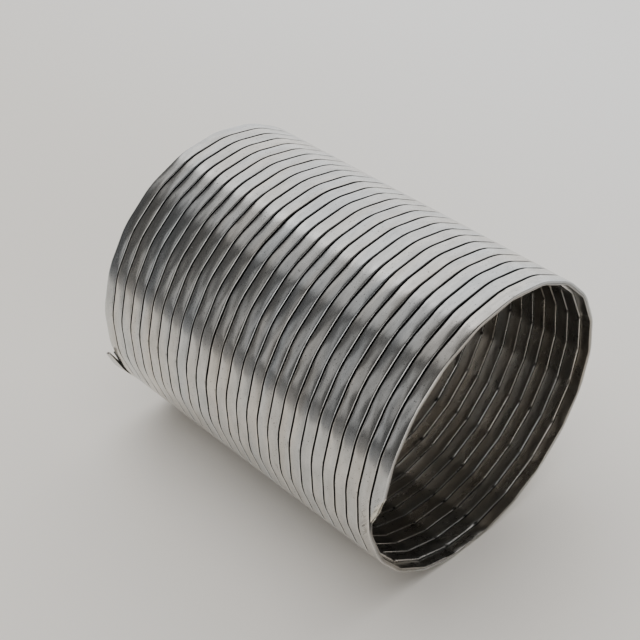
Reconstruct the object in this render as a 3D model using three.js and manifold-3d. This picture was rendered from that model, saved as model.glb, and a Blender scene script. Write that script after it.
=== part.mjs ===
// A strip-wound interlocked metal hose: one profiled steel strip, wound edge to edge round a
// many-sided mandrel. Each turn hooks into the one before it with a folded leg, and can slide and
// tilt in that hook. The winding is divided at the top and at the underside, so that each half
// turn is a solid of its own that can move against the next.
// Millimetres and degrees. +X runs along the bore towards the front mouth, +Z is up, and the
// origin is on the surface that the hose lies on, below the middle of its box.
import * as THREE from "three";
import { mergeVertices } from "three/addons/utils/BufferGeometryUtils.js";
import Module from "manifold-3d";

// The winding
const facets = 21; // flats round one turn
const bore = 125; // across the flats, inside
const pitch = 5.95; // from one turn to the next, at rest
const lastTurn = 27;
const startFlat = -4.3; // the strip's start, counted in flats from the underside
const endFlat = 562.3; // its end, counted on round the winding

// The rolled strip
const sheet = 0.45; // thickness of the strip
const groove = 0.75; // gap that shows between two turns at rest
const wall = 2.7; // from the outer face to the inner face of the hose
const legLength = 1.9; // each folded edge, measured from its fold

// The ends
const endGap = 0.3; // between one half turn's end and the next one's start, along the strip
const trimmedTo = 17; // the rear hook is trimmed off up to here, where the second turn begins
const tailFlats = 1.8; // length of the loose tail at the back mouth
const tailLift = 2.2; // how far its tip stands off the hose
const tailRoll = 1.1; // how much further its back edge stands off
const tailSplay = 0.9; // how far the tip leans out past the mouth
const tailTipWidth = 0.17; // of the strip's width
const tailTipDepth = 0.3; // of the folded strip's depth
const openLeg = 0.28; // of the front leg's length, where the tail has pulled it open
const snipFlat = 561.75; // middle of the slanting cut across the strip at the front mouth
const snipLength = 18; // run of that cut along the strip
const snipBlock = { width: 20, length: 80, height: 14 };

const flatAngle = 360 / facets;
const undersideAngle = 270; // from +Y towards +Z, where a flat lies on the ground
const land = pitch - groove; // width of the flat that shows, outside and inside
const outerReach = bore / 2 + wall; // from the axis to the middle of an outer flat
const layerGap = (wall - 4 * sheet) / 3; // four layers of strip share the wall
const endGapAngle = THREE.MathUtils.radToDeg(endGap / 2 / outerReach);

// Depths below the outer face, from outside to inside
const topOfUpperLeg = sheet + layerGap;
const underUpperLeg = topOfUpperLeg + sheet;
const topOfLowerLeg = underUpperLeg + layerGap;
const underLowerLeg = topOfLowerLeg + sheet;
const topOfInnerLand = wall - sheet;

// The strip's section. x is along the bore, with 0 at the front face of the turn's outer land,
// and y is outwards, with 0 at the outer face.
const shapeOf = (points) => new THREE.Shape(points.map(([x, y]) => new THREE.Vector2(x, y)));
const webBack = -land;
const webFront = webBack + sheet;
const foldBack = webFront - land;
const foldFront = foldBack + sheet;

const frontHook = [
  [webFront, -sheet],
  [-sheet, -sheet],
  [-sheet, -topOfLowerLeg],
  [-legLength, -topOfLowerLeg],
  [-legLength, -underLowerLeg],
  [0, -underLowerLeg],
  [0, 0],
  [webBack, 0],
];
const rearHook = [
  [webBack, -topOfInnerLand],
  [foldFront, -topOfInnerLand],
  [foldFront, -underUpperLeg],
  [foldBack + legLength, -underUpperLeg],
  [foldBack + legLength, -topOfUpperLeg],
  [foldBack, -topOfUpperLeg],
  [foldBack, -wall],
  [webFront, -wall],
];
const hookedSection = shapeOf([...frontHook, ...rearHook]);

// A first turn has no neighbour to hook into behind it, so its rear hook is trimmed off.
const trimmedSection = shapeOf([...frontHook, [webBack, -wall], [webFront, -wall]]);

// Places along the winding, in flats: both ends, and every corner between them.
function placesBetween(fromFlat, toFlat) {
  const places = [fromFlat];
  for (let corner = Math.floor(fromFlat + 0.5) + 0.5; corner < toFlat; corner++) {
    places.push(corner);
  }
  places.push(toFlat);
  return places;
}

const asRolled = () => ({ out: 0, along: 0, roll: 0, width: 1, depth: 1, leg: 1 });

// Winds a straight length of strip, with a section at each place, round the bore. form(place)
// gives a section's own offset outwards and along the bore, how much further out its back edge
// is rolled, and its share of the width, of the depth and of the front leg's length.
function wind(section, places, ends, form = asRolled) {
  const steps = places.length - 1;
  const strip = new THREE.ExtrudeGeometry(section, { depth: steps, steps, bevelEnabled: false });
  const at = strip.getAttribute("position");
  for (let v = 0; v < at.count; v++) {
    const i = Math.round(at.getZ(v));
    const trim = (i === 0 ? ends.start : 0) - (i === steps ? ends.end : 0);
    const turned = places[i] * flatAngle + trim;
    // Between its corners a flat lies closer to the axis, in the ratio that the angle gives.
    const fromMiddle = turned - flatAngle * Math.round(turned / flatAngle);
    const { out, along, roll, width, depth, leg } = form(places[i]);
    const height = outerReach + at.getY(v) * depth + out - (roll * at.getX(v)) / land;
    const reach = height / Math.cos(THREE.MathUtils.degToRad(fromMiddle));
    const isLegTip = at.getX(v) > webFront && at.getX(v) < -sheet;
    const across = at.getX(v) * width * (isLegTip ? leg : 1);
    const x = across + along + (pitch * turned) / 360;
    const angle = THREE.MathUtils.degToRad(undersideAngle + turned);
    at.setXYZ(v, x, reach * Math.cos(angle), reach * Math.sin(angle));
  }
  strip.deleteAttribute("normal");
  strip.deleteAttribute("uv");
  return mergeVertices(strip, 1e-4);
}

const wasm = await Module();
wasm.setup();

const solidOf = (geometry) =>
  new wasm.Manifold(
    new wasm.Mesh({
      numProp: 3,
      vertProperties: new Float32Array(geometry.getAttribute("position").array),
      triVerts: new Uint32Array(geometry.index.array),
    }),
  );

function geometryOf(solid) {
  const mesh = solid.getMesh();
  return new THREE.BufferGeometry()
    .setAttribute("position", new THREE.BufferAttribute(mesh.vertProperties, 3))
    .setIndex(new THREE.BufferAttribute(mesh.triVerts, 1));
}

const halfTurn = facets / 2;
const bothEnds = { start: endGapAngle, end: endGapAngle };

// The winding from the back mouth to the top. It begins with a tail that has sprung off the hose,
// its folds pinched together to a point.
function startOfStrip() {
  const tailEnd = startFlat + tailFlats;
  const ends = { start: 0, end: endGapAngle };
  return wind(trimmedSection, placesBetween(startFlat, halfTurn), ends, (place) => {
    const loose = Math.max(0, (tailEnd - place) / tailFlats) ** 2;
    return {
      out: tailLift * loose,
      along: -tailSplay * loose ** 2,
      roll: tailRoll * Math.sqrt(loose),
      width: place === startFlat ? tailTipWidth : 1,
      depth: 1 - (1 - tailTipDepth) * loose,
      leg: place > tailEnd ? 1 : openLeg,
    };
  });
}

// The first half turn above the tail still has no neighbour behind it, as far as the second
// turn's start.
function secondTurnRight() {
  const whole = wind(hookedSection, placesBetween(halfTurn, facets), bothEnds);
  const back = foldBack - 1;
  const front = webBack + 0.01;
  const trimming = shapeOf([[front, 1], [back, 1], [back, -wall - 1], [front, -wall - 1]]);
  const trimmed = wind(trimming, placesBetween(halfTurn - 0.4, trimmedTo), { start: 0, end: 0 });
  return geometryOf(solidOf(whole).subtract(solidOf(trimmed)));
}

// The last of the winding, with the slanting cut that ends the strip at the front mouth.
function endOfStrip() {
  const fromFlat = (lastTurn - 1) * facets;
  const whole = wind(hookedSection, placesBetween(fromFlat, endFlat), {
    start: endGapAngle,
    end: 0,
  });
  const turned = snipFlat * flatAngle;
  const block = new THREE.BoxGeometry(snipBlock.width, snipBlock.length, snipBlock.height);
  block.translate(snipBlock.width / 2, 0, 0).rotateZ(-Math.atan2(land, snipLength));
  block.translate((pitch * turned) / 360 - land / 2, 0, outerReach);
  block.rotateX(THREE.MathUtils.degToRad(undersideAngle + turned - 90));
  block.deleteAttribute("normal");
  block.deleteAttribute("uv");
  return geometryOf(solidOf(whole).subtract(solidOf(mergeVertices(block, 1e-4))));
}

const hose = new THREE.Group();

function addPiece(name, geometry) {
  const steel = new THREE.MeshStandardMaterial({
    color: 0x8f8d89,
    metalness: 1,
    roughness: 0.35,
  });
  const piece = new THREE.Mesh(geometry, steel);
  piece.name = name;
  hose.add(piece);
}

addPiece("turn_01_start", startOfStrip());
for (let turn = 2; turn <= lastTurn; turn++) {
  const number = String(turn).padStart(2, "0");
  const underside = (turn - 1) * facets;
  const right = () => wind(hookedSection, placesBetween(underside - halfTurn, underside), bothEnds);
  addPiece(`turn_${number}_right`, turn === 2 ? secondTurnRight() : right());
  if (turn < lastTurn) {
    const left = wind(hookedSection, placesBetween(underside, underside + halfTurn), bothEnds);
    addPiece(`turn_${number}_left`, left);
  }
}
addPiece(`turn_${lastTurn}_end`, endOfStrip());

// Lay the hose on the flat at its underside, and put the origin below the middle of its box.
const middle = new THREE.Box3().setFromObject(hose, true).getCenter(new THREE.Vector3());
hose.position.set(-middle.x, -middle.y, outerReach);

export default hose;
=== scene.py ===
import math

import bmesh
import bpy
from mathutils import Matrix, Vector


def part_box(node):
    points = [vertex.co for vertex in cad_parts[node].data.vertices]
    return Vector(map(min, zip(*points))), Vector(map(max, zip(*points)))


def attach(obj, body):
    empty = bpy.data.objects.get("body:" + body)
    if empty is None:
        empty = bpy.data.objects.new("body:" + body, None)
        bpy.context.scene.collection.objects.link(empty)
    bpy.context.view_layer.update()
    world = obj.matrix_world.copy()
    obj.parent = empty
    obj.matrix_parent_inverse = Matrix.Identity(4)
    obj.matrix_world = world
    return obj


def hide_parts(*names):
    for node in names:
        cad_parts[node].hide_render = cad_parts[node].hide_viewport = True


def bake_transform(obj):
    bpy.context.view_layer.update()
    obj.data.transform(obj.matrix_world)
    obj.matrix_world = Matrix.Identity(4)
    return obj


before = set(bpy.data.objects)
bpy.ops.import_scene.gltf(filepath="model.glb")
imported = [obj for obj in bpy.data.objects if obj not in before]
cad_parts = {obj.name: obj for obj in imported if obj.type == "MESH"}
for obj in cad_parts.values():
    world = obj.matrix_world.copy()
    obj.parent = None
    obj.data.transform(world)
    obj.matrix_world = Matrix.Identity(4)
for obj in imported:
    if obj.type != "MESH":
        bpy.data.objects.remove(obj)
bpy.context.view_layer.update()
print("frame loaded:", len(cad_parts), "nodes")

mm = 0.001

# The winding, as the CAD has it. Flats are counted from the underside, on round the winding.
hose = {
    "flats": 21,              # in one turn
    "bore": 125 * mm,         # across the flats
    "wall": 2.7 * mm,
    "pitch": 5.95 * mm,
    "groove": 0.75 * mm,      # gap between two turns
    "lastTurn": 27,
    "startFlat": -4.3,
    "trimmedTo": 17,          # the rear hook is trimmed off up to here
    "endFlat": 562.3,
}
outerReach = hose["bore"] / 2 + hose["wall"]
land = hose["pitch"] - hose["groove"]
flatAngle = 2 * math.pi / hose["flats"]
axisHeight = outerReach


# Small helpers for node trees
def connect(tree, socket, value):
    value = value.socket if isinstance(value, Num) else value
    if isinstance(value, bpy.types.NodeSocket):
        tree.links.new(value, socket)
    else:
        socket.default_value = value


def addNode(tree, kind, inputs=None, **settings):
    node = tree.nodes.new(kind)
    for name, value in settings.items():
        setattr(node, name, value)
    for key, value in (inputs or {}).items():
        connect(tree, node.inputs[key], value)
    return node


class Num:
    # A number in a node tree that can be added, multiplied and compared like any other
    def __init__(self, tree, socket):
        self.tree = tree
        self.socket = socket

    def op(self, operation, *others, swap=False):
        node = addNode(self.tree, "ShaderNodeMath", operation=operation)
        values = (*others, self) if swap else (self, *others)
        for socket, value in zip(node.inputs, values):
            connect(self.tree, socket, value)
        return Num(self.tree, node.outputs[0])

    def __add__(self, other):
        return self.op("ADD", other)

    def __radd__(self, other):
        return self.op("ADD", other)

    def __sub__(self, other):
        return self.op("SUBTRACT", other)

    def __rsub__(self, other):
        return self.op("SUBTRACT", other, swap=True)

    def __mul__(self, other):
        return self.op("MULTIPLY", other)

    def __rmul__(self, other):
        return self.op("MULTIPLY", other)

    def __truediv__(self, other):
        return self.op("DIVIDE", other)

    def __rtruediv__(self, other):
        return self.op("DIVIDE", other, swap=True)

    def __neg__(self):
        return self.op("MULTIPLY", -1)

    def ramp(self, low, high, toLow=0.0, toHigh=1.0, smooth=True):
        kind = "SMOOTHSTEP" if smooth else "LINEAR"
        node = addNode(self.tree, "ShaderNodeMapRange", interpolation_type=kind)
        for key, value in zip(("From Min", "From Max", "To Min", "To Max"), (low, high, toLow, toHigh)):
            connect(self.tree, node.inputs[key], value)
        connect(self.tree, node.inputs["Value"], self)
        return Num(self.tree, node.outputs["Result"])


def addInputs(tree, sizes):
    tree.interface.new_socket("Geometry", in_out="INPUT", socket_type="NodeSocketGeometry")
    tree.interface.new_socket("Geometry", in_out="OUTPUT", socket_type="NodeSocketGeometry")
    for name, value in sizes.items():
        kind = {int: "NodeSocketInt", float: "NodeSocketFloat"}.get(type(value), "NodeSocketMaterial")
        socket = tree.interface.new_socket(name, in_out="INPUT", socket_type=kind)
        if value is not None:
            socket.default_value = value


# The section of the strip: a closed outline, with a bend radius at each point
section = {
    "sheet": 0.45 * mm,
    "leg": 1.9 * mm,          # each folded edge
    "frontBend": 0.42 * mm,   # where the outer land turns down at its front edge
    "backBend": 0.44 * mm,
    "outerBend": 0.36 * mm,
    "innerBend": 0.10 * mm,
    "innerLandBend": 0.27 * mm,
    "innerGap": 0.45 * mm,    # gap between two turns on the inside
    "cutEdge": 0.05 * mm,
    "crown": 0.19 * mm,       # how far the middle of a land stands up
    "crownPower": 2.4,
    "crownPoints": 9,
    "hem": 1.0 * mm,          # depth of the line where the folded edge meets itself
    "hemGap": 0.16 * mm,
    "hemDepth": 0.22 * mm,
}


# A land is rounded across its width
def crownAt(across):
    off = abs(2 * across - 1)
    return section["crown"] * (1 - off ** section["crownPower"])


def stripOutline():
    sheet, wall, leg = section["sheet"], hose["wall"], section["leg"]
    outer, inner, cut = section["outerBend"], section["innerBend"], section["cutEdge"]
    gap = (wall - 4 * sheet) / 3
    webBack, webFront = -land, sheet - land
    foldBack = webFront - hose["pitch"] + section["innerGap"]
    foldFront = foldBack + sheet
    upperTop, upperUnder = sheet + gap, 2 * sheet + gap
    lowerTop, lowerUnder = 2 * sheet + 2 * gap, 3 * sheet + 2 * gap
    hem, hemGap = section["hem"], section["hemGap"]
    points = [
        (webFront, -sheet, inner), (-sheet, -sheet, inner), (-sheet, -lowerTop, inner),
        (-leg, -lowerTop, cut), (-leg, -lowerUnder, cut), (0, -lowerUnder, outer),
        (0, -hem - hemGap, 0), (-section["hemDepth"], -hem - hemGap / 2, 0),
        (0, -hem, 0), (0, 0, section["frontBend"]),
    ]
    count = section["crownPoints"]
    for i in range(1, count + 1):
        across = i / (count + 1)
        points.append((webBack * across, crownAt(across), 0))
    points += [
        (webBack, 0, section["backBend"]), (webBack, -wall + sheet, inner),
        (foldFront, -wall + sheet, inner), (foldFront, -upperUnder, inner), (foldBack + leg, -upperUnder, cut),
        (foldBack + leg, -upperTop, cut), (foldBack, -upperTop, outer), (foldBack, -wall, outer),
    ]
    for i in range(1, count + 1):
        across = i / (count + 1)
        x = foldBack + (webFront - foldBack) * across
        points.append((x, -wall - crownAt(across), 0))
    points.append((webFront, -wall, section["innerLandBend"]))
    return points


def sectionCurve(name, points):
    curve = bpy.data.curves.new(name, "CURVE")
    curve.dimensions = "3D"
    spline = curve.splines.new("POLY")
    spline.points.add(len(points) - 1)
    for point, (x, y, bend) in zip(spline.points, points):
        point.co = (x, y, 0, 1)
        point.radius = bend
    spline.use_cyclic_u = True
    thing = bpy.data.objects.new(name, curve)
    bpy.context.scene.collection.objects.link(thing)
    return thing


# The winding tree: sweeps the section along a straight strip, then winds it round the bore
winding = {
    "From Flat": 0.0,
    "To Flat": 1.0,
    "Steps per Flat": 10,
    "Flats per Turn": float(hose["flats"]),
    "Pitch": hose["pitch"],
    "Outer Reach": outerReach - 0.23 * mm,
    "Axis Height": axisHeight,
    "First Land Front": 0.0,
    "Bend Points": 3,
    "Tail From": float(hose["startFlat"]),
    "Tail Flats": 1.8,
    "Tail Lift": 2.1 * mm,
    "Tail Roll": 1.0 * mm,
    "Tail Splay": 0.55 * mm,
    "Tail Tip Width": 0.1,
    "Tail Tip Depth": 0.25,
    "Corner Zone": 0.40,
    "Corner Spread": 0.33,
    "Inner Corner Zone": 0.16,
    "Corner Wander": 0.25,
    "Outer Dent": 0.10 * mm,
    "Inner Dent": 0.40 * mm,
    "Wander": 0.13 * mm,
    "Edge Wobble": 0.12 * mm,
    "Lift Wander": 0.06 * mm,
    "Wide Groove At": 231.0,
    "Wide Groove": 0.22 * mm,
    "Last Leg From": 541.0,
    "Last Leg": 2.6 * mm,
    "Leg Dent": 0.22 * mm,
    "Open Leg": 1.37 * mm,
    "Seed": 7.0,
    "Outside": None,
    "Inside": None,
}


# Where each effect begins and ends: across the strip and down from its outside, or in flats along it
zones = {
    "insideDepth": (1.2 * mm, 2.0 * mm),       # from the outer land to the inner one
    "faceDepth": 0.5 * mm,                     # what counts as an outer or inner face
    "edgeAcross": 1.2 * mm,                    # the back edge of a land fades its wobble over this
    "legTipFront": (-1.85 * mm, -1.6 * mm),    # the tip of the leg that is folded in the front hook
    "legTipBack": 2.2 * mm,
    "legTipUpper": (1.35 * mm, 1.45 * mm),
    "legTipLower": (2.0 * mm, 2.2 * mm),
    "insideSteel": 1.35 * mm,                  # deeper than this the steel is dulled
    "calmStart": (8, 25),                      # no wander before this, nor after the next
    "calmEnd": (520, 545),
    "gapOpens": (-7, -1),                      # either side of the wide groove
    "gapCloses": (30, 200),
    "tailTaper": (0.56, 1.0),                  # share of the tail's length
    "corner": 0.15,                            # how near a corner its crush begins
    "cornerInside": 0.05,
    "sharpEdge": 0.75,                         # in radians
}
# How quickly each unevenness changes, for each flat along and each metre across
unevenness = {
    "cornerAlong": 0.9, "cornerAcross": 330, "cornerInside": 9, "drift": 0.11, "bob": 0.17, "wobble": 5.3,
}


def windingTree():
    tree = bpy.data.node_groups.new("windStrip", "GeometryNodeTree")
    addInputs(tree, winding)
    given = tree.nodes.new("NodeGroupInput")
    size = {name: Num(tree, given.outputs[name]) for name in winding}

    bent = addNode(tree, "GeometryNodeFilletCurve", {
        "Curve": given.outputs["Geometry"], "Count": size["Bend Points"],
        "Radius": addNode(tree, "GeometryNodeInputRadius").outputs[0], "Limit Radius": True,
    }, mode="POLY")
    here = tree.nodes.new("GeometryNodeInputPosition").outputs[0]
    across = addNode(tree, "GeometryNodeCaptureAttribute", domain="POINT")
    across.capture_items.new("VECTOR", "Section")
    connect(tree, across.inputs["Geometry"], bent.outputs[0])
    connect(tree, across.inputs["Section"], here)

    span = size["To Flat"] - size["From Flat"]
    ends = [addNode(tree, "ShaderNodeCombineXYZ", {"Z": size[name]}) for name in ("From Flat", "To Flat")]
    line = addNode(tree, "GeometryNodeCurvePrimitiveLine", {
        "Start": ends[0].outputs[0], "End": ends[1].outputs[0],
    })
    stations = addNode(tree, "GeometryNodeResampleCurve", {
        "Curve": line.outputs[0], "Count": span * size["Steps per Flat"] + 1.5,
    }, mode="COUNT")
    along = addNode(tree, "GeometryNodeCaptureAttribute", domain="POINT")
    along.capture_items.new("VECTOR", "Along")
    connect(tree, along.inputs["Geometry"], stations.outputs[0])
    connect(tree, along.inputs["Along"], here)
    strip = addNode(tree, "GeometryNodeCurveToMesh", {
        "Curve": along.outputs["Geometry"], "Profile Curve": across.outputs["Geometry"],
        "Fill Caps": True,
    })

    parts = addNode(tree, "ShaderNodeSeparateXYZ", {"Vector": across.outputs["Section"]})
    x, y = Num(tree, parts.outputs["X"]), Num(tree, parts.outputs["Y"])
    raw = addNode(tree, "ShaderNodeSeparateXYZ", {"Vector": along.outputs["Along"]})
    place = Num(tree, raw.outputs["Z"])
    flat = 2 * math.pi / size["Flats per Turn"].op("MAXIMUM", 3.0)
    inside = (-y).ramp(*zones["insideDepth"])
    landMiddle = inside * (section["sheet"] - land) - land / 2
    offMiddle = x - landMiddle

    # a corner is not bent quite square across the strip, nor as sharply in the middle of a land
    changing = offMiddle * unevenness["cornerAcross"] + inside * unevenness["cornerInside"]
    uneven = noiseAcross(tree, place * unevenness["cornerAlong"], changing, size["Seed"])
    bentAt = place + size["Corner Wander"] * (uneven - 0.5)
    middle = (bentAt + 0.5).op("FLOOR")
    fromMiddle = (bentAt - middle) * flat
    toCorner = 0.5 - (bentAt - middle).op("ABSOLUTE")
    nearCorner = toCorner.ramp(0.0, zones["corner"] - zones["cornerInside"] * inside, 1.0, 0.0)
    offShare = offMiddle * (2 / land)
    zone = size["Corner Zone"] + size["Corner Spread"] * (1 - offShare * offShare).op("MAXIMUM", 0.0)
    zone = zone + (size["Inner Corner Zone"] - zone) * inside

    tailLine = ((size["Tail From"] + size["Tail Flats"] - place) / size["Tail Flats"]).op("MAXIMUM", 0.0)
    loose = tailLine.op("POWER", 2.0)
    taper = tailLine.ramp(*zones["tailTaper"], smooth=False).op("POWER", 2.2)
    width = 1 - (1 - size["Tail Tip Width"]) * taper
    depth = 1 - (1 - size["Tail Tip Depth"]) * loose
    drift = noiseAt(tree, place * unevenness["drift"], size["Seed"])
    bob = noiseAt(tree, place * unevenness["bob"], size["Seed"] + 5)
    gapAt = size["Wide Groove At"]
    opens, closes = ([gapAt + flats for flats in zones[name]] for name in ("gapOpens", "gapCloses"))
    widen = place.ramp(*opens) - place.ramp(*closes)
    legTip = x.ramp(*zones["legTipFront"], 1.0, 0.0) * (x + zones["legTipBack"]).ramp(0.0, 0.1 * mm)
    legTip = legTip * (-y).ramp(*zones["legTipUpper"]) * (-y).ramp(*zones["legTipLower"], 1.0, 0.0)
    reachOut = place.ramp(size["Last Leg From"], size["Last Leg From"] + 1.5)
    tailEnd = size["Tail From"] + size["Tail Flats"]
    pulledOpen = place.ramp(tailEnd, tailEnd + 1, 1.0, 0.0)

    # at each corner the bend crushes the edges of the land a little
    whole = (place + 0.5).op("FLOOR")
    thisCorner = addNode(tree, "ShaderNodeCombineXYZ", {
        "X": whole, "Y": size["Seed"], "Z": inside.op("ROUND"),
    })
    drawn = addNode(tree, "ShaderNodeTexWhiteNoise", {"Vector": thisCorner.outputs[0]}, noise_dimensions="3D")
    chance = Num(tree, drawn.outputs["Value"])
    toEdge = offMiddle.op("ABSOLUTE").ramp(land * 0.2, land * 0.5)
    frontSide = offMiddle.ramp(0.0, land * 0.1)
    outFaces = (-y).ramp(0.0, zones["faceDepth"], 1.0, 0.0)
    inFaces = (-y).ramp(hose["wall"] - zones["faceDepth"], hose["wall"])
    crush = nearCorner * toEdge * (0.25 + 0.75 * chance)
    dent = crush * (size["Outer Dent"] * outFaces - size["Inner Dent"] * inFaces * frontSide)

    out = size["Tail Lift"] * loose + size["Lift Wander"] * (bob - 0.5) - dent
    out = out - size["Tail Roll"] * tailLine * x / land
    out = out + size["Leg Dent"] * legTip * reachOut * nearCorner * chance.ramp(0.35, 0.8)
    calm = place.ramp(*zones["calmStart"]) * place.ramp(*zones["calmEnd"], 1.0, 0.0)
    shift = size["Wander"] * (drift - 0.5) * calm + size["Wide Groove"] * widen
    wobble = noiseAt(tree, place * unevenness["wobble"], size["Seed"] + 9) - 0.5
    atBackEdge = (x + land).ramp(0.0, zones["edgeAcross"], 1.0, 0.0) * outFaces
    shift = shift + size["Edge Wobble"] * wobble * calm * atBackEdge
    shift = shift - size["Tail Splay"] * loose * loose - size["Last Leg"] * legTip * reachOut
    shift = shift + size["Open Leg"] * legTip * pulledOpen
    reach = roundedReach(size["Outer Reach"], flat, fromMiddle, toCorner * flat, zone)
    reach = reach + y * depth + out
    angle = place * flat - math.pi / 2
    newX = x * width + shift + size["First Land Front"] + size["Pitch"] * place / size["Flats per Turn"]
    newZ = size["Axis Height"] + reach * angle.op("SINE")
    to = addNode(tree, "ShaderNodeCombineXYZ", {
        "X": newX, "Y": reach * angle.op("COSINE"), "Z": newZ,
    })
    wound = addNode(tree, "GeometryNodeSetPosition", {
        "Geometry": strip.outputs[0], "Position": to.outputs[0],
    })
    # where each point was on the straight strip, in metres: along, across and down from the outside
    where = addNode(tree, "ShaderNodeCombineXYZ", {
        "X": place * flat * outerReach, "Y": x, "Z": y,
    })
    kept = addNode(tree, "GeometryNodeStoreNamedAttribute", {
        "Geometry": wound.outputs[0], "Name": "stripPlace", "Value": where.outputs[0],
    }, data_type="FLOAT_VECTOR", domain="POINT")
    # the crushed dents, kept for the steels, which paint shade into them
    kept = addNode(tree, "GeometryNodeStoreNamedAttribute", {
        "Geometry": kept.outputs[0], "Name": "crushed",
        "Value": crush * (outFaces * 0.4 + inFaces * frontSide),
    }, data_type="FLOAT", domain="POINT")
    steep = addNode(tree, "GeometryNodeInputMeshEdgeAngle").outputs["Unsigned Angle"]
    smooth = addNode(tree, "GeometryNodeSetShadeSmooth", {
        "Geometry": kept.outputs[0], "Selection": Num(tree, steep).op("GREATER_THAN", zones["sharpEdge"]),
        "Shade Smooth": False,
    }, domain="EDGE")
    solid = addNode(tree, "GeometryNodeRealizeInstances", {"Geometry": smooth.outputs[0]})
    painted = addNode(tree, "GeometryNodeSetMaterial", {
        "Geometry": solid.outputs[0], "Material": given.outputs["Outside"],
    })
    finish = addNode(tree, "GeometryNodeSetMaterial", {
        "Geometry": painted.outputs[0], "Material": given.outputs["Inside"],
        "Selection": (-y).op("GREATER_THAN", zones["insideSteel"]),
    })
    result = tree.nodes.new("NodeGroupOutput")
    connect(tree, result.inputs["Geometry"], finish.outputs[0])
    return tree


# How far the outer face lies from the axis: flat in the middle of a flat, and an arc at a corner
def roundedReach(outer, flat, fromMiddle, fromCorner, zone):
    half = flat / 2
    tangent = outer * half.op("TANGENT") * zone
    radius = tangent / half.op("TANGENT")
    centre = outer / half.op("COSINE") - radius / half.op("COSINE")
    side = centre * fromCorner.op("SINE")
    arc = centre * fromCorner.op("COSINE") + (radius * radius - side * side).op("MAXIMUM", 0.0).op("SQRT")
    edge = half - ((outer * half.op("TANGENT") - tangent) / outer).op("ARCTANGENT")
    inArc = fromCorner.op("LESS_THAN", edge)
    return arc * inArc + (outer / fromMiddle.op("COSINE")) * (1 - inArc)


def noiseAcross(tree, along, across, seed):
    at = addNode(tree, "ShaderNodeCombineXYZ", {"X": along, "Y": across, "Z": seed * 17})
    node = addNode(tree, "ShaderNodeTexNoise", {"Vector": at.outputs[0], "Scale": 1.0, "Detail": 1.0})
    return Num(tree, node.outputs[0])


def noiseAt(tree, place, seed):
    node = addNode(tree, "ShaderNodeTexNoise", {"W": place + seed * 31, "Scale": 1.0, "Detail": 1.0},
                   noise_dimensions="1D")
    return Num(tree, node.outputs[0])


weld = 1e-7    # points nearer than this are one


# Turns the tree's result for one stretch of strip into a plain closed mesh
def woundMesh(name, outline, fromFlat, toFlat):
    source = sectionCurve(name + "Source", outline)
    modifier = source.modifiers.new("wind", "NODES")
    modifier.node_group = windStrip
    wanted = {
        "From Flat": float(fromFlat), "To Flat": float(toFlat), "First Land Front": firstLandFront,
        "Outside": outsideSteel, "Inside": insideSteel,
    }
    for item in windStrip.interface.items_tree:
        if item.in_out == "INPUT" and item.name in wanted:
            modifier[item.identifier] = wanted[item.name]
    bpy.context.view_layer.update()
    evaluated = source.evaluated_get(bpy.context.evaluated_depsgraph_get())
    mesh = bpy.data.meshes.new_from_object(evaluated)
    curve = source.data
    source.modifiers.clear()
    bpy.data.objects.remove(source)
    bpy.data.curves.remove(curve)
    mesh.name = name
    bm = bmesh.new()
    bm.from_mesh(mesh)
    bmesh.ops.remove_doubles(bm, verts=bm.verts, dist=weld)
    if bm.calc_volume(signed=True) < 0:
        bmesh.ops.reverse_faces(bm, faces=bm.faces)
    bm.to_mesh(mesh)
    bm.free()
    return mesh


# One piece, from one or more closed stretches of strip that follow each other
def woundPiece(name, *stretches):
    meshes = [woundMesh(name, *stretch) for stretch in stretches]
    if len(meshes) > 1:
        bm = bmesh.new()
        for mesh in meshes:
            bm.from_mesh(mesh)
        bm.to_mesh(meshes[0])
        bm.free()
    meshes[0].materials.append(cutSteel)
    piece = bpy.data.objects.new(name, meshes[0])
    bpy.context.scene.collection.objects.link(piece)
    return piece


# The first turn's rear hook is trimmed away: the outline stops at the back corner of the outer land
def trimmedOutline(points):
    webFront = section["sheet"] - land
    back = points.index((-land, 0, section["backBend"]))
    foot = [(x, -hose["wall"], section["cutEdge"]) for x in (-land, webFront)]
    return points[:back + 1] + foot


# The slanting snip across the strip at the front mouth: two cuts, the second one steeper
snip = {
    "flat": 561.6,            # where the first cut crosses the middle of the land
    "slants": (0.24, 0.46),   # across for each length along
    "turnIn": -2.1 * mm,      # how far across the second cut begins
    "reach": 45 * mm,         # faces further off than this are left alone
}


def snipEnd(piece):
    turned = snip["flat"] * flatAngle
    middle = firstLandFront + hose["pitch"] * snip["flat"] / hose["flats"]
    turn = Matrix.Rotation(turned - math.pi, 3, "X")
    lift = Vector((0, 0, axisHeight))
    centre = turn @ Vector((0, 0, outerReach)) + lift
    bm = bmesh.new()
    bm.from_mesh(piece.data)
    first, second = snip["slants"]
    corner = Vector((middle + snip["turnIn"], (-land / 2 - snip["turnIn"]) / first, outerReach))
    for slant in (first, second):
        faces = [f for f in bm.faces if (f.calc_center_median() - centre).yz.length < snip["reach"]]
        verts = {v for f in faces for v in f.verts}
        edges = {e for f in faces for e in f.edges}
        normal = turn @ Vector((1, -slant, 0)).normalized()
        cutting = bmesh.ops.bisect_plane(
            bm, geom=list(verts) + list(edges) + faces,
            plane_co=turn @ corner + lift, plane_no=normal, clear_outer=True)
        rim = [e for e in cutting["geom_cut"] if isinstance(e, bmesh.types.BMEdge)]
        filled = bmesh.ops.holes_fill(bm, edges=rim, sides=0)["faces"]
        for face in filled:
            face.material_index = 2    # the cut steel
            face.smooth = False
        print("snip made", len(filled), "faces")
    bm.to_mesh(piece.data)
    bm.free()


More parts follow.
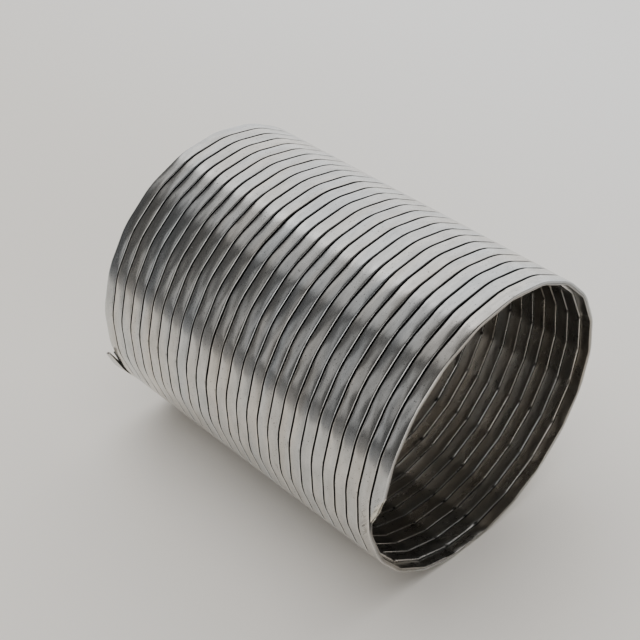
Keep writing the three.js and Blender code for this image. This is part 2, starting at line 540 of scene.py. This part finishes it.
# How fast each pattern on the steel changes, for each metre along, across and down the strip
patterns = {
    "fine": (45, 5200, 900),        # drawn lines from the rolls
    "broad": (14, 900, 300),
    "haze": (70, 160, 160),
    "specks": (1500, 1500, 1500),
    "cloud": (55, 260, 300),        # dirt
    "spots": (330, 420, 420),
    "cuts": (1500, 130, 10),        # scratches
    "stain": (240, 500, 500),
    "tint": (13, 60, 200),          # slow change between a cool and a warm grey
}


# Effects that the steels share. Place is where a point was on the straight strip, in metres.
def effectGroup(name, given, wanted):
    group = bpy.data.node_groups.new(name, "ShaderNodeTree")
    for label, kind, value in given:
        socket = group.interface.new_socket(label, in_out="INPUT", socket_type=kind)
        if value is not None:
            socket.default_value = value
    for label in wanted:
        group.interface.new_socket(label, in_out="OUTPUT", socket_type="NodeSocketFloat")
    return group, group.nodes.new("NodeGroupInput").outputs, group.nodes.new("NodeGroupOutput").inputs


def noiseOn(tree, place, scale, detail=3.0, shift=0.0):
    spread = addNode(tree, "ShaderNodeMapping", {
        "Vector": place, "Scale": scale, "Location": (shift, shift * 0.7, 0),
    })
    return Num(tree, addNode(tree, "ShaderNodeTexNoise", {
        "Vector": spread.outputs[0], "Scale": 1.0, "Detail": detail,
    }).outputs[0])


def grainGroup():
    group, given, result = effectGroup("rollingGrain", [
        ("Place", "NodeSocketVector", None), ("Lines", "NodeSocketFloat", 1.0),
    ], ["Grain", "Haze", "Specks"])
    place = given["Place"]
    fine = noiseOn(group, place, patterns["fine"], 2.0)
    broad = noiseOn(group, place, patterns["broad"], 3.0, 3.1)
    connect(group, result["Grain"], (fine * 0.6 + broad * 0.4 - 0.5) * Num(group, given["Lines"]) + 0.5)
    connect(group, result["Haze"], noiseOn(group, place, patterns["haze"], 4.0, 9.0).ramp(0.3, 0.72))
    connect(group, result["Specks"], noiseOn(group, place, patterns["specks"], 1.0, 5.0).ramp(0.67, 0.77))
    return group


# Dirt, marks, bare metal, painted shade and painted highlights: lengths are across the strip or down from its
# outside, unless noted
grimeAndLightRanges = {
    "markReach": 14 * mm,                      # along the strip from a mark
    "markCore": 3 * mm,
    "clean": 0.74,                             # dirt shows where its pattern is above this
    "coverShare": 0.3,                         # how much a steel's cover lowers that
    "markShare": 0.10,
    "soft": (-0.02, 0.16),
    "lean": 1.5,                               # of the scratches
    "cutEdge": (0.52, 0.64),
    "hollowTop": (0.08 * mm, 0.34 * mm),
    "hollowFoot": (1.2 * mm, 1.9 * mm),
    "openAlong": (0.0, 10 * mm),               # along the strip past the first mark
    "openAcross": (-3.4 * mm, -2.6 * mm),
    "openShare": 0.75,
    "outerBend": ((-0.5 * mm, -0.15 * mm), (0.05 * mm, 0.4 * mm)),     # across, down
    "innerBend": ((-5.4 * mm, -5.0 * mm), (2.15 * mm, 2.4 * mm)),
    "outerShare": 0.25,
    "rawSlant": 0.33,
    "rawAcross": (-1.5 * mm, -0.7 * mm),
    "rawAlong": (-9 * mm, -3 * mm),
}


def grimeAndLightGroup():
    ranges = grimeAndLightRanges
    group, given, result = effectGroup("grimeAndPaintedLight", [
        ("Place", "NodeSocketVector", None), ("Crushed", "NodeSocketFloat", 0.0),
        ("Cover", "NodeSocketFloat", 0.3), ("First Mark", "NodeSocketFloat", 1.0),
        ("Second Mark", "NodeSocketFloat", 1.0), ("Mark Reach", "NodeSocketFloat", ranges["markReach"]),
    ], ["Grime And Dent Shade", "Scratches", "Hollow", "Raw", "Worn And Highlight"])
    place = given["Place"]
    parts = addNode(group, "ShaderNodeSeparateXYZ", {"Vector": place}).outputs
    along, across, up = (Num(group, parts[axis]) for axis in "XYZ")
    marked = 0
    for label in ("First Mark", "Second Mark"):
        away = (along - Num(group, given[label])).op("ABSOLUTE")
        marked = away.ramp(Num(group, given["Mark Reach"]), ranges["markCore"]) + marked
    cloud = noiseOn(group, place, patterns["cloud"], 5.0, 21.0)
    spots = noiseOn(group, place, patterns["spots"], 4.0, 40.0)
    least = ranges["clean"] - ranges["coverShare"] * Num(group, given["Cover"]) - ranges["markShare"] * marked
    mask = (cloud * 0.6 + spots * 0.4).ramp(*(least + side for side in ranges["soft"]))
    # the crushed dents join the dirt mask: painted shade in the dents
    crushed = Num(group, given["Crushed"]).ramp(0.12, 0.75)
    connect(group, result["Grime And Dent Shade"], mask.op("MAXIMUM", crushed * 0.9))
    # short slanting scratches, where tools have slipped beside the strip's end
    leaning = addNode(group, "ShaderNodeCombineXYZ", {"X": along + across * ranges["lean"], "Y": across})
    cuts = noiseOn(group, leaning.outputs[0], patterns["cuts"], 2.0, 60.0).ramp(*ranges["cutEdge"])
    middle = (across + land * 0.42).op("ABSOLUTE").ramp(land * 0.34, land * 0.12)
    connect(group, result["Scratches"], cuts * middle * marked * spots.ramp(0.25, 0.5))
    # the gap between two turns is darkened, for dust and oxide and as painted shade in the gap, less where the
    # last turn's front hook lies open
    deep = (-up).ramp(*ranges["hollowTop"]) * (-up).ramp(*ranges["hollowFoot"], 1.0, 0.0)
    lastTurn = (along - Num(group, given["First Mark"])).ramp(*ranges["openAlong"])
    opened = lastTurn * across.ramp(*ranges["openAcross"])
    connect(group, result["Hollow"], deep * (1 - opened * ranges["openShare"]))
    # bends at the front of each land, painted paler: partly rubbed bright, partly a painted highlight
    (outerAcross, outerDown), (innerAcross, innerDown) = ranges["outerBend"], ranges["innerBend"]
    outer = across.ramp(*outerAcross) * (-up).ramp(*outerDown, 1.0, 0.0)
    inner = across.ramp(*innerAcross) * (-up).ramp(*innerDown)
    connect(group, result["Worn And Highlight"], outer * ranges["outerShare"] + inner * spots.ramp(0.2, 0.5))
    # the rough bare edge beside the snip
    pastSnip = along - Num(group, given["Second Mark"])
    beside = (pastSnip * ranges["rawSlant"] + across + land / 2).ramp(*ranges["rawAcross"])
    connect(group, result["Raw"], beside * pastSnip.ramp(*ranges["rawAlong"]) * (spots * 0.8 + 0.6))
    return group


# The steels: bright where the rolls left it outside, dulled and browned inside, raw where cut
steels = {
    "rolledSteel": {
        "clean": (0.61, 0.605, 0.595), "dirty": (0.30, 0.275, 0.235), "cover": 0.32,
        "roughness": 0.20, "dull": 0.16, "lines": 0.9, "bump": 0.03,
    },
    "dulledSteel": {
        "clean": (0.37, 0.356, 0.337), "dirty": (0.15, 0.138, 0.124), "cover": 0.20,
        "roughness": 0.26, "dull": 0.2, "lines": 0.4, "bump": 0.06,
    },
    "cutSteel": {
        "clean": (0.86, 0.82, 0.72), "dirty": (0.45, 0.40, 0.32), "cover": 0.35,
        "roughness": 0.55, "dull": 0.1, "lines": 1.0, "bump": 0.5,
    },
}
# How much each effect darkens a steel, painted shade in the groove and the crushed dents among them, or
# brightens it where it is rubbed and given a painted highlight
wearAndPaintedLight = {
    "specks": 0.55, "haze": 0.17, "scratches": 0.65, "lines": 0.3, "stain": 0.25,
    "rubbedAndHighlight": 0.7, "hollow": 0.9, "crushed": 0.8,
}
# How much each effect roughens a steel, and how high or deep it stands beside the rolled lines
roughening = {"lines": 0.12, "haze": 0.06, "hollow": 0.3, "bare": 0.2}
relief = {"specks": -0.6, "scratches": -2.0, "dirtAndDentShade": 0.3, "distance": 0.03 * mm}
# Tools have marked the strip beside its end and on the turn before, in flats
markFlats = (541.1, 561.7)
marks = [2 * math.pi * outerReach * flat / hose["flats"] for flat in markFlats]


def steelMaterial(name):
    look = steels[name]
    material = bpy.data.materials.new(name)
    material.use_nodes = True
    tree = material.node_tree
    shader = tree.nodes["Principled BSDF"]
    shader.inputs["Metallic"].default_value = 1.0
    place = addNode(tree, "ShaderNodeAttribute", attribute_name="stripPlace").outputs["Vector"]
    crushed = addNode(tree, "ShaderNodeAttribute", attribute_name="crushed").outputs["Fac"]
    grain = addNode(tree, "ShaderNodeGroup", node_tree=effects["grain"])
    connect(tree, grain.inputs["Place"], place)
    connect(tree, grain.inputs["Lines"], look["lines"])
    grimeAndPaintedLight = addNode(tree, "ShaderNodeGroup", node_tree=effects["grimeAndPaintedLight"])
    for label, value in (("Place", place), ("Crushed", crushed), ("Cover", look["cover"]),
                         ("First Mark", marks[0]), ("Second Mark", marks[1])):
        connect(tree, grimeAndPaintedLight.inputs[label], value)
    lines, haze, specks = (Num(tree, grain.outputs[label]) for label in ("Grain", "Haze", "Specks"))
    dirtAndDentShade, scratches, hollow, bare, wornAndHighlight = (
        Num(tree, grimeAndPaintedLight.outputs[label]) for label in ("Grime And Dent Shade", "Scratches", "Hollow", "Raw", "Worn And Highlight"))
    stain = noiseOn(tree, place, patterns["stain"], 4.0, 51.0)
    tint = noiseOn(tree, place, patterns["tint"], 2.0, 33.0).ramp(0.32, 0.68)
    clean = addNode(tree, "ShaderNodeMix", {0: tint}, data_type="RGBA")
    for socket, cast in ((6, (0.95, 0.98, 1.0)), (7, (1.04, 1.0, 0.94))):    # cool, then warm
        clean.inputs[socket].default_value = (*(value * share for value, share in zip(look["clean"], cast)), 1)
    shade = addNode(tree, "ShaderNodeMix", {0: dirtAndDentShade * 0.7, 6: clean.outputs[2]}, data_type="RGBA")
    shade.inputs[7].default_value = (*look["dirty"], 1)
    darker = 1 - specks * wearAndPaintedLight["specks"] - haze * wearAndPaintedLight["haze"] - scratches * wearAndPaintedLight["scratches"]
    darker = darker + (lines - 0.5) * wearAndPaintedLight["lines"] + (stain - 0.5) * wearAndPaintedLight["stain"]
    # the bends are lightened by a painted highlight, and the groove darkened by dust and painted shade
    darker = darker * (1 + wornAndHighlight * wearAndPaintedLight["rubbedAndHighlight"]) * (1 - hollow * wearAndPaintedLight["hollow"])
    # painted shade in the crushed dents
    darker = darker * (1 - Num(tree, crushed).ramp(0.1, 0.6) * wearAndPaintedLight["crushed"])
    shade = addNode(tree, "ShaderNodeMix", {
        0: bare.op("MINIMUM", 1.0), 6: shade.outputs[2],
    }, data_type="RGBA")
    shade.inputs[7].default_value = (*steels["cutSteel"]["clean"], 1)
    tinted = addNode(tree, "ShaderNodeVectorMath", {0: shade.outputs[2]}, operation="SCALE")
    connect(tree, tinted.inputs["Scale"], darker)
    connect(tree, shader.inputs["Base Color"], tinted.outputs[0])
    rough = look["roughness"] + (lines - 0.5) * roughening["lines"] + haze * roughening["haze"]
    rough = rough + dirtAndDentShade * look["dull"] + hollow * roughening["hollow"] + bare * roughening["bare"]
    connect(tree, shader.inputs["Roughness"], rough)
    height = lines + specks * relief["specks"] + scratches * relief["scratches"] + dirtAndDentShade * relief["dirtAndDentShade"]
    bump = addNode(tree, "ShaderNodeBump", {
        "Height": height, "Strength": look["bump"], "Distance": relief["distance"],
    })
    connect(tree, shader.inputs["Normal"], bump.outputs[0])
    return material


effects = {"grain": grainGroup(), "grimeAndPaintedLight": grimeAndLightGroup()}
outsideSteel, insideSteel, cutSteel = (steelMaterial(name) for name in steels)
print("materials made:", ", ".join(steels))


# Where the first land's front face lies, from a turn of the CAD that keeps its plain front face
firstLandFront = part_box("turn_27_right")[1].x - hose["pitch"] * (hose["lastTurn"] - 1)

windStrip = windingTree()
outline = stripOutline()
print("section has", len(outline), "points")
flats = hose["flats"]
topFlat = (flats - 1) // 2    # the last flat before the top
pieces = []


def keepPiece(piece, node):
    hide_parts(node)
    pieces.append(piece)


trimmed = trimmedOutline(outline)
first = woundPiece("stripTurn01", (trimmed, hose["startFlat"], topFlat))
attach(first, "turn_01_start")
keepPiece(first, "turn_01_start")
before = "turn_01_start"
for turn in range(2, hose["lastTurn"] + 1):
    underside = (turn - 1) * flats
    node = f"turn_{turn:02d}_right"
    fromFlat = underside - topFlat - 1
    stretches = [(outline, fromFlat, underside)]
    if fromFlat < hose["trimmedTo"]:
        stretches = [(trimmed, fromFlat, hose["trimmedTo"]), (outline, hose["trimmedTo"], underside)]
    right = woundPiece(f"stripTurn{turn:02d}Right", *stretches)
    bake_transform(right)
    keepPiece(right, node)
    if turn < hose["lastTurn"]:
        before = f"turn_{turn:02d}_left"
        left = woundPiece(f"stripTurn{turn:02d}Left", (outline, underside, underside + topFlat))
        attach(left, before)
        keepPiece(left, before)
end = woundPiece("stripEnd", (outline, underside, hose["endFlat"]))
snipEnd(end)
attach(end, "turn_27_end")
keepPiece(end, "turn_27_end")
print("strip wound:", len(pieces), "pieces,", sum(len(p.data.polygons) for p in pieces), "faces")


# Floor, light and camera
studio = {
    "floorSize": 30.0,
    "floorColour": (0.81, 0.772, 0.712),
    "floorRoughness": 0.8,
    "paintedLightSide": (0.93, 0.92, 0.895),
    "paintedLightFade": (-0.02, 0.5),
    "edge": (-0.31, -0.28),   # the pale floor turns to a grey of painted shade past here, away from the softbox side
    "paintedShadeBeyond": (0.22, 0.22, 0.22),
    "lamps": {
        "softbox": {"place": (-0.6, 1.27, 1.02), "size": (2.9, 2.7), "power": 35, "seen": True},
        "frontCard": {"place": (1.7, -0.85, 0.68), "size": (1.9, 1.6), "power": 15, "seen": True},
        "upperCard": {"place": (-1.1, -0.24, 1.78), "size": (1.2, 0.9), "power": 2.0, "seen": True},
        "sideCard": {"place": (-0.98, -1.56, 0.88), "size": (0.44, 1.5), "power": 1.0, "seen": True},
        "fill": {"place": (-0.2, -0.6, 2.6), "size": (3.0, 3.0), "power": 66, "seen": False},
    },
    "worldGrey": 0.10,
}


def pale(name, colour, roughness):
    material = bpy.data.materials.new(name)
    material.use_nodes = True
    shader = material.node_tree.nodes["Principled BSDF"]
    shader.inputs["Base Color"].default_value = (*colour, 1)
    shader.inputs["Roughness"].default_value = roughness
    return material


def floorPlane():
    half = studio["floorSize"] / 2
    mesh = bpy.data.meshes.new("floor")
    corners = [(-half, -half, 0), (half, -half, 0), (half, half, 0), (-half, half, 0)]
    mesh.from_pydata(corners, [], [(0, 1, 2, 3)])
    material = pale("floorPale", studio["floorColour"], studio["floorRoughness"])
    tree = material.node_tree
    place = addNode(tree, "ShaderNodeTexCoord").outputs["Object"]
    away = Num(tree, addNode(tree, "ShaderNodeSeparateXYZ", {"Vector": place}).outputs["Y"])
    # the floor is painted paler toward the softbox, as painted light, and grey past the edge, as painted shade
    fading = addNode(tree, "ShaderNodeMix", {0: away.ramp(*studio["edge"], 1.0, 0.0)}, data_type="RGBA")
    nearer = addNode(tree, "ShaderNodeMix", {0: away.ramp(*studio["paintedLightFade"])}, data_type="RGBA")
    nearer.inputs[6].default_value = (*studio["floorColour"], 1)
    nearer.inputs[7].default_value = (*studio["paintedLightSide"], 1)
    connect(tree, fading.inputs[6], nearer.outputs[2])
    fading.inputs[7].default_value = (*studio["paintedShadeBeyond"], 1)
    connect(tree, tree.nodes["Principled BSDF"].inputs["Base Color"], fading.outputs[2])
    mesh.materials.append(material)
    floor = bpy.data.objects.new("floor", mesh)
    bpy.context.scene.collection.objects.link(floor)


def areaLight(name, place, aim, size, power):
    lamp = bpy.data.lights.new(name, "AREA")
    lamp.shape = "RECTANGLE"
    lamp.size, lamp.size_y = size
    lamp.energy = power
    thing = bpy.data.objects.new(name, lamp)
    bpy.context.scene.collection.objects.link(thing)
    thing.location = place
    thing.rotation_euler = (Vector(aim) - Vector(place)).to_track_quat("-Z", "Y").to_euler()
    return thing


floorPlane()
for name, lamp in studio["lamps"].items():
    light = areaLight(name, lamp["place"], (0, 0, axisHeight), lamp["size"], lamp["power"])
    light.visible_glossy = lamp["seen"]
world = bpy.data.worlds.new("studio")
bpy.context.scene.world = world
world.use_nodes = True
world.node_tree.nodes["Background"].inputs["Color"].default_value = (1, 1, 1, 1)
world.node_tree.nodes["Background"].inputs["Strength"].default_value = studio["worldGrey"]

print("studio lit:", len(studio["lamps"]), "lamps")

camera = {
    "aim": -0.445 * mm,       # along the hose from its middle
    "azimuth": 42.74,
    "elevation": 37.84,
    "roll": 2.94,
    "distance": 521.9 * mm,
    "lens": 69.7,
    "sensor": 36,
    "shift": (-0.0348, 0.0275),
}


def placeCamera():
    data = bpy.data.cameras.new("camera")
    data.lens = camera["lens"]
    data.sensor_width = camera["sensor"]
    data.shift_x, data.shift_y = camera["shift"]
    data.clip_start = 0.01
    thing = bpy.data.objects.new("camera", data)
    bpy.context.scene.collection.objects.link(thing)
    angles = [math.radians(camera[name]) for name in ("elevation", "azimuth", "roll")]
    aim = Matrix.Rotation(angles[1], 4, "Z") @ Matrix.Rotation(math.pi / 2 - angles[0], 4, "X")
    aim = aim @ Matrix.Rotation(angles[2], 4, "Z")
    middle = Matrix.Translation((camera["aim"], 0, axisHeight))
    thing.matrix_world = middle @ aim @ Matrix.Translation((0, 0, camera["distance"]))
    bpy.context.scene.camera = thing


placeCamera()
print("camera placed")
